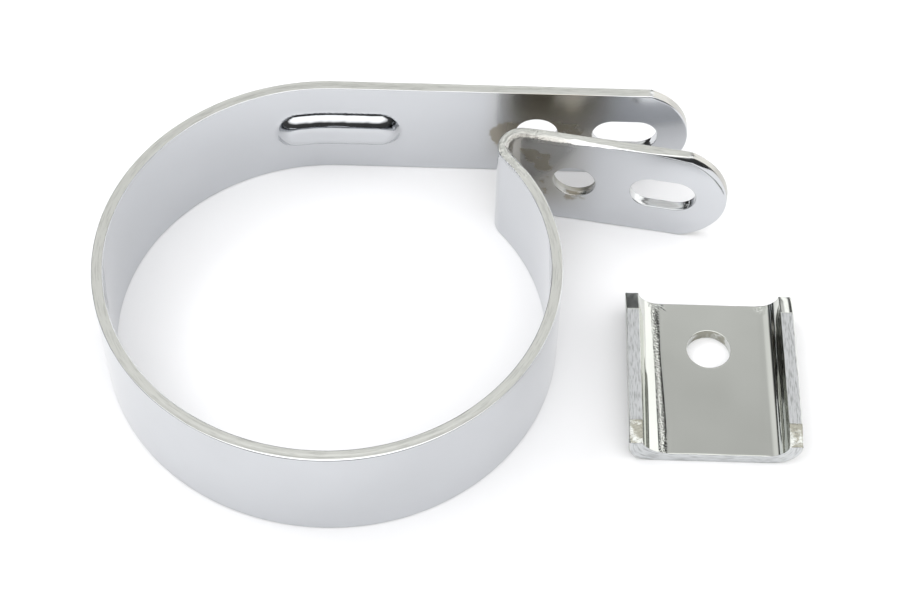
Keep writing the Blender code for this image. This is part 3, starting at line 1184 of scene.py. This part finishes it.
# ---------------------------------------------------------------- saddle plate
@dataclass
class SaddleShell:
    """The loose saddle plate: a shallow channel with a bolt hole, its lips sloping down at their ends."""

    thickness: float = 3.1 * MM
    fold_radius: float = 3.3 * MM
    lip_straight: float = 2.2 * MM
    lip_end_drop: float = 1.4 * MM
    lip_end_slope: float = 5.5 * MM
    fillet: float = 4.4 * MM
    fillet_growth: float = 2.2 * MM
    left_power: float = 1.7
    right_power: float = 2.0
    squareness: float = 2.7
    edge_waver: float = 0.12
    end_polish: float = 0.85
    end_pitting: float = 0.26
    foot_pitting: float = 0.42
    corner_pitting: float = 0.55
    stain_likely: float = 0.52
    hole_diameter: float = 10.4 * MM
    hole_offset: float = 8.2 * MM
    finish: ChromePlatedSteel = ChromePlatedSteel(
        "chrome_plated_steel_plate", face_colour="#D2D4CF", cloud_colour="#BABCB6", edge_colour="#CFD1D2",
        edge_dark="#A6A8A8", stain_colour="#8C8A7D", grain_across=2.2 * MM,
    )

    def __post_init__(self) -> None:
        """Take the channel's width and length from the CAD, and work out its line."""
        low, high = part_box("saddle_plate")
        self.front = low.y
        self.length = high.y - low.y
        outside = self.outside = self.thickness + self.fold_radius
        self.fold = (self.fold_radius + self.thickness / 2) * math.pi / 2
        self.floor = high.x - low.x - 2 * outside
        bend = 2 / (2 * self.fold_radius + self.thickness)
        self.line = BendLine(
            lengths=(self.lip_straight, self.fold, self.floor, self.fold, self.lip_straight),
            curvatures=(0.0, bend, 0.0, bend, 0.0),
            start=(low.x + self.thickness / 2, outside + self.lip_straight),
            heading=-math.pi / 2,
        )
        self.total = sum(self.line.lengths)

    def stations(self) -> Array:
        """Distances of the stations, lip to lip, close together at the lips' corners and in the folds.

        Returns:
            The distances.
        """
        drop = self.lip_end_drop
        fold_start = self.lip_straight
        fold_end = fold_start + self.fold
        close, lip, fold, floor = 0.04 * MM, 0.3 * MM, 0.32 * MM, 0.9 * MM
        half = stretch(
            (0.0, close, close),
            (close, drop - close, lip),
            (drop - close, drop, close),
            (drop, drop + close, close),
            (drop + close, fold_start, lip),
            (fold_start, fold_end, fold),
            (fold_end, self.total / 2, floor),
        )
        return np.concatenate((half, self.total - half[-2::-1]))

    def bend(self, places: Array) -> Array:
        """Flat places bent along the channel's line, which lies in the plane of X and Z.

        A place lies across the line's heading by its depth, and its height on the blank runs along Y. The
        press filled the inside of both folds, the left one more towards the front: what lies outside the
        fillet, an ellipse whose power is 2 or a little less, is drawn in onto it. It also squared the left
        fold's outside: a place there moves out until the sum of a power of its two distances from the
        fold's centre is the same power of the radius.

        Args:
            places: flat places.

        Returns:
            Their points in space.
        """
        distance, along, depth = places.T
        point, heading = self.line.follow(distance)
        inwards = np.stack((-np.sin(heading), np.cos(heading)), axis=-1)
        point = point + inwards * depth[:, None]
        inner = smooth(depth / self.thickness + 0.5)[:, None]
        growth = self.fillet_growth * (1 - along / self.length)
        middle = self.line.start[0] - self.thickness / 2 + (self.floor + 2 * self.outside) / 2
        reach = self.floor / 2 + self.fold_radius
        for side in (-1, 1):
            power = self.left_power if side < 0 else self.right_power
            wide = self.fillet + (growth if side < 0 else 0 * growth)
            radii = np.stack((wide, np.full_like(wide, self.fillet)), axis=-1)
            corner = np.stack((middle + side * (reach - wide), self.thickness + radii[:, 1]), axis=-1)
            away = (point - corner) / radii
            off = np.sum(np.abs(away) ** power, axis=1) ** (1 / power)
            within = (away[:, 0] * side > 0) & (away[:, 1] < 0) & (off > 1)
            filled = corner + away * radii / np.maximum(off, 1.0)[:, None]
            point = np.where(within[:, None], point + (filled - point) * inner, point)
        left = np.array((middle - self.floor / 2, self.outside))
        away = point - left
        below = (away[:, 0] < 0) & (away[:, 1] < 0)
        off = np.maximum(np.linalg.norm(away, axis=1), 1e-9)
        unit = np.abs(away) / off[:, None]
        squared = 1 / np.sum(unit**self.squareness, axis=1) ** (1 / self.squareness)
        pushed = left + away * squared[:, None]
        point = np.where(below[:, None], point + (pushed - point) * (1 - inner), point)
        return np.column_stack((point[:, 0], self.front + along, point[:, 1]))

    def build(self) -> bpy.types.Object:
        """Build the saddle plate's shell in its place.

        Returns:
            The plate's object.
        """
        distances = self.stations()
        from_crest = np.minimum(distances, self.total - distances)
        cut_back = self.lip_end_slope * np.clip(1 - from_crest / self.lip_end_drop, 0.0, 1.0)
        low = np.stack((distances, cut_back), axis=-1)
        high = np.stack((distances, self.length - cut_back), axis=-1)
        close, wide = 0.012, 0.024
        rows = stretch((0.0, close, close), (close, 1 - close, wide), (1 - close, 1.0, close))
        share = rows[1:-1, None]
        start = (low[0] * (1 - share) + high[0] * share)[::-1]
        finish = low[-1] * (1 - share) + high[-1] * share
        fold_end = self.lip_straight + self.fold
        first = int(np.argmin(np.abs(distances - fold_end)))
        last = int(np.argmin(np.abs(distances - self.total + fold_end)))
        centre = (self.total / 2, self.length / 2 + self.hole_offset)
        hole = Opening(centre, self.hole_diameter / 2, 0.0, first, last)
        edge = CutEdge(0.20 * MM, 0.20 * MM, 0.30 * MM, 0.30 * MM)
        outline = np.concatenate((low, finish, high[::-1], start))
        wavy = 1 + self.edge_waver * waver(outline.sum(axis=1), 17 * MM, 0.4)
        blank = Blank(
            self.thickness, low, high, rows, start, finish, (hole,), edge,
            edge.sizes(len(outline)) * wavy[:, None], round_ends=False,
        )
        places, cut, quads = blank.mesh()
        return make_object("saddle_shell", self.bend(places), quads, self.layers(places, cut))

    def end_facet(self, places: Array) -> Array:
        """The lips' sloping ends.

        Args:
            places: flat places.

        Returns:
            1 for each place on them, and 0 for each elsewhere.
        """
        distance, along, _ = places.T
        from_end = np.minimum(along, self.length - along)
        from_crest = np.minimum(distance, self.total - distance)
        return ((from_end < self.lip_end_slope + 0.2 * MM) & (from_crest < self.lip_end_drop)).astype(float)

    def pitted(self, places: Array) -> Array:
        """How pitted a place is: the lips' front ends, the left fold's foot and the folds' back corners.

        Args:
            places: flat places.

        Returns:
            A share for each, from 0 to 1.
        """
        distance, along, depth = places.T
        ends = self.end_facet(places) * (along < self.length / 2)
        foot = self.lip_straight + self.fold + (0.4 + 1.0 * (1 - along / self.length)) * MM
        line = np.exp(-(((distance - foot) / (0.55 * MM)) ** 2))
        from_fold = np.minimum(np.abs(distance - foot), np.abs(self.total - distance - foot))
        torn = smooth(1.6 - from_fold / (1.6 * MM)) * smooth((along - self.length) / (2.2 * MM) + 1.2)
        inside = np.maximum(self.foot_pitting * line, self.corner_pitting * torn) * (depth > 0)
        return np.maximum(self.end_pitting * ends, inside)

    def stain(self, places: Array, cut: Array) -> Array:
        """How likely a place is to be stained: the lips' front ends, and the hole's wall at the back.

        Args:
            places: flat places.
            cut: their shares of cut wall.

        Returns:
            A likelihood for each, from 0 to 1.
        """
        distance, along, _ = places.T
        ends = self.end_facet(places) * (along < self.length / 2)
        behind = smooth((along - self.length / 2 - self.hole_offset) / (4 * MM)) * (cut > 0.05)
        in_hole = np.abs(distance - self.total / 2) < self.hole_diameter / 2
        at_hole = behind * in_hole * (along < self.length - 4 * MM)
        return self.stain_likely * (ends + at_hole)

    def layers(self, places: Array, cut: Array) -> dict[str, Array]:
        """What the finish reads at each place: the lips' ground ends are brighter than the rest of the cut.

        Args:
            places: flat places.
            cut: their shares of cut wall.

        Returns:
            Three values for each place, by the attribute's name.
        """
        cut = cut * (1 - self.end_polish * self.end_facet(places))
        marks = np.column_stack((cut, self.pitted(places), self.stain(places, cut)))
        return {"flat_place": places, "marks": marks, "shade_and_haze": np.zeros_like(places)}

    def dress(self, saddle: bpy.types.Object) -> None:
        """Give the saddle plate its finish, hang it on its body, and hide the CAD plate.

        Args:
            saddle: the plate's object.
        """
        saddle.data.materials.append(self.finish.material())
        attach(saddle, Body.SADDLE.value)
        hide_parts("saddle_plate")


# ---------------------------------------------------------------- studio
@dataclass
class Studio:
    """A pale table under soft light in a room that is dark low down, which is what the chrome shows.

    Each of the room's three sides has levels: the brightness at the sine of a direction's elevation.
    """

    floor_radius: float = 2.5
    floor_rings: int = 12
    floor_spokes: int = 96
    laminate: MattLaminate = MattLaminate()
    front: Levels = ((0.0, 0.04), (0.43, 0.07), (0.56, 1.6), (0.78, 2.4), (0.92, 2.2), (1.0, 1.7))
    back_left: Levels = (
        (0.0, 0.03), (0.46, 0.05), (0.56, 1.1), (0.74, 1.05), (0.84, 0.72), (0.89, 0.8), (1.0, 1.7)
    )
    back_right: Levels = (
        (0.0, 1.75), (0.64, 1.7), (0.67, 0.03), (0.76, 0.04), (0.79, 0.72), (0.89, 0.80), (1.0, 1.7)
    )
    left_to_right: tuple[float, float] = (0.13, 0.17)
    back_to_front: tuple[float, float] = (0.15, -0.15)
    lamp_place: tuple[float, float, float] = (-0.8, 0.55, 1.15)
    lamp_size: tuple[float, float] = (0.9, 0.7)
    lamp_power: float = 6.5

    def build_floor(self) -> bpy.types.Object:
        """The table top: a round sheet, its rings growing outwards from the middle.

        Returns:
            The floor's object.
        """
        radius = self.floor_radius * np.linspace(0.0, 1.0, self.floor_rings + 1)[1:] ** 2
        angle = np.linspace(0.0, 2 * np.pi, self.floor_spokes + 1)[:-1]
        ring = np.stack((np.cos(angle), np.sin(angle)), axis=-1)
        places = np.concatenate(([[0.0, 0.0]], (radius[:, None, None] * ring[None]).reshape(-1, 2)))
        number = 1 + np.arange(len(radius) * len(angle)).reshape(len(radius), len(angle))
        after = np.roll(number, -1, axis=1)
        quads = np.stack((number[:-1], number[1:], after[1:], after[:-1]), axis=-1).reshape(-1, 4)
        fan = np.stack((np.zeros_like(number[0]), number[0], after[0]), axis=-1)
        mesh = bpy.data.meshes.new("floor")
        points = np.column_stack((places, np.zeros(len(places))))
        mesh.from_pydata(points, [], fan.tolist() + quads.tolist())
        floor = bpy.data.objects.new("floor", mesh)
        bpy.context.scene.collection.objects.link(floor)
        return floor

    def dress_floor(self, floor: bpy.types.Object) -> None:
        """Cover the table top with its laminate."""
        floor.data.materials.append(self.laminate.material())

    def side(self, tree: Tree, up: Socket, levels: Levels) -> Socket:
        """One side of the room: a ramp of its levels over a direction's height, times the brightest.

        Args:
            tree: the world's nodes.
            up: the height of a direction.
            levels: the side's levels.

        Returns:
            The side's colour.
        """
        brightest = max(level for _, level in levels)
        stops = tuple((at, (level / brightest,) * 3 + (1.0,)) for at, level in levels)
        ramp = add_node(tree, "ShaderNodeValToRGB", {"Fac": up}, stops=stops).outputs["Color"]
        inputs = {0: ramp, "Scale": brightest}
        return add_node(tree, "ShaderNodeVectorMath", inputs, operation="SCALE").outputs[0]

    def blend(self, tree: Tree, along: Socket, span: tuple[float, float], sides: tuple) -> Socket:
        """Two sides of the room blended over a span of the directions along one axis.

        Args:
            tree: the world's nodes.
            along: a direction's part along the axis.
            span: where the first side ends, and where the second begins.
            sides: the colours of both.

        Returns:
            The blended colour.
        """
        limits = {"Value": along, "From Min": span[0], "From Max": span[1]}
        share = add_node(tree, "ShaderNodeMapRange", limits).outputs[0]
        inputs = {"Factor": share, 4: sides[0], 5: sides[1]}
        return add_node(tree, "ShaderNodeMix", inputs, data_type="VECTOR").outputs[1]

    def light(self) -> None:
        """Light the room from its sides and ceiling.

        Brightness goes by how high a direction points, differently before, behind to the left and behind to
        the right. Straight to the camera the room is plain white.
        """
        world = bpy.data.worlds.new("studio_room")
        world.use_nodes = True
        bpy.context.scene.world = world
        tree = world.node_tree
        tree.nodes.clear()
        towards = add_node(tree, "ShaderNodeTexCoord", {}).outputs["Generated"]
        across, deep, up = add_node(tree, "ShaderNodeSeparateXYZ", {0: towards}).outputs[:3]
        left, right, front = [self.side(tree, up, s) for s in (self.back_left, self.back_right, self.front)]
        back = self.blend(tree, across, self.left_to_right, (left, right))
        room = self.blend(tree, deep, self.back_to_front, (back, front))
        lit = add_node(tree, "ShaderNodeBackground", {"Color": room, "Strength": 1.0}).outputs[0]
        white = {"Color": linear("#FFFFFF"), "Strength": 1.0}
        plain = add_node(tree, "ShaderNodeBackground", white).outputs[0]
        seen = add_node(tree, "ShaderNodeLightPath", {}).outputs["Is Camera Ray"]
        both = add_node(tree, "ShaderNodeMixShader", {0: seen, 1: lit, 2: plain}).outputs[0]
        add_node(tree, "ShaderNodeOutputWorld", {"Surface": both})

    def soft_box(self) -> None:
        """A soft box high at the back left, whose shadows fall gently to the front right."""
        lamp = bpy.data.lights.new("soft_box", "AREA")
        lamp.shape = "RECTANGLE"
        lamp.size, lamp.size_y = self.lamp_size
        lamp.energy = self.lamp_power
        item = bpy.data.objects.new("soft_box", lamp)
        bpy.context.scene.collection.objects.link(item)
        item.location = self.lamp_place
        item.rotation_euler = item.location.normalized().to_track_quat("Z", "Y").to_euler()
        item.visible_camera = False
        item.visible_glossy = False


@dataclass
class StudioCamera:
    """The camera: where it stands, which way it points, and its lens."""

    place: tuple[float, float, float] = (3.84 * MM, -283.22 * MM, 414.12 * MM)
    turned: float = math.radians(0.718)
    down: float = math.radians(54.679)
    tilted: float = math.radians(0.992)
    lens: float = 83.77
    sensor: float = 36.0
    clip: tuple[float, float] = (0.01, 50.0)

    def build(self) -> bpy.types.Object:
        """Stand the camera in its place.

        Returns:
            The camera's object.
        """
        flat = math.cos(self.down)
        ahead = Vector((-math.sin(self.turned) * flat, math.cos(self.turned) * flat, -math.sin(self.down)))
        level = Vector((math.cos(self.turned), math.sin(self.turned), 0.0))
        upright = level.cross(ahead)
        right = math.cos(self.tilted) * level + math.sin(self.tilted) * upright
        up = math.cos(self.tilted) * upright - math.sin(self.tilted) * level
        data = bpy.data.cameras.new("studio_camera")
        data.lens = self.lens
        data.sensor_width = self.sensor
        data.clip_start, data.clip_end = self.clip
        item = bpy.data.objects.new("studio_camera", data)
        bpy.context.scene.collection.objects.link(item)
        turn = Matrix((right, up, -ahead)).transposed().to_4x4()
        item.matrix_world = Matrix.Translation(self.place) @ turn
        bpy.context.scene.camera = item
        return item


def main() -> None:
    """Build the studio and both pieces, and report each piece."""
    logging.basicConfig(level=logging.INFO, format="%(name)s: %(message)s")
    studio = Studio()
    studio.dress_floor(studio.build_floor())
    studio.light()
    studio.soft_box()
    StudioCamera().build()
    bpy.context.scene.view_settings.view_transform = "Standard"
    for shell in (StrapShell(), SaddleShell()):
        piece = shell.build()
        shell.dress(piece)
        LOG.info("%s: %d points, %d faces", piece.name, len(piece.data.vertices), len(piece.data.polygons))


if __name__ == "__main__":
    main()
